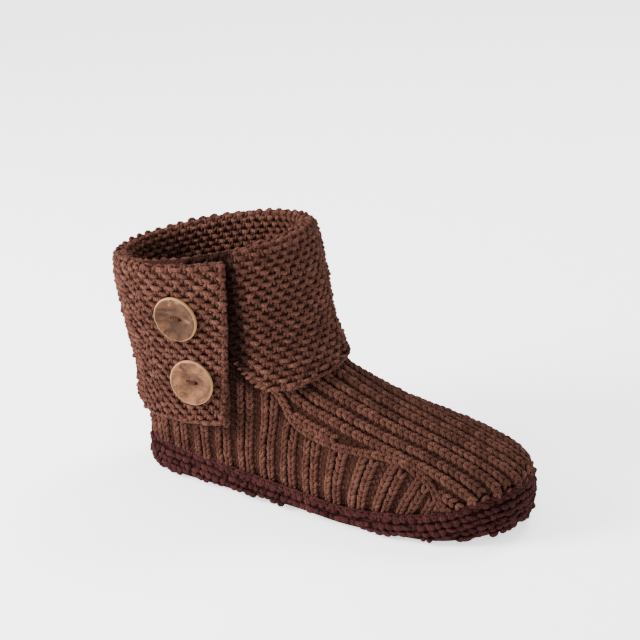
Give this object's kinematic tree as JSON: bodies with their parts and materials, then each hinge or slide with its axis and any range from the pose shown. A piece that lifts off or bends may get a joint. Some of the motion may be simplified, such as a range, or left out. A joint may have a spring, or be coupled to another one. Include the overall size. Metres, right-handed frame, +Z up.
{
  "type": "knitted bootie slipper",
  "caption": "Right-foot knitted bootie slipper in brown ribbed wool with a fold-over buttoned cuff and a darker raised-edge sole.",
  "frame": {"origin": "centre of the footprint's bounding box, on the floor plane under the sole", "axes": "+X from heel to toe, +Y towards the inner side of the foot, +Z up"},
  "size_m": [0.2776, 0.116, 0.1664],
  "materials": {
    "wool_brown": "soft heathered knit",
    "wool_dark": "dense bumpy knit",
    "wood_marbled": "polished, marbled brown"
  },
  "bodies": {
    "root": {"sole": "wool_dark", "upper": "wool_brown", "cuff": "wool_brown", "button_upper": "wood_marbled", "button_lower": "wood_marbled"}
  },
  "joints": []
}
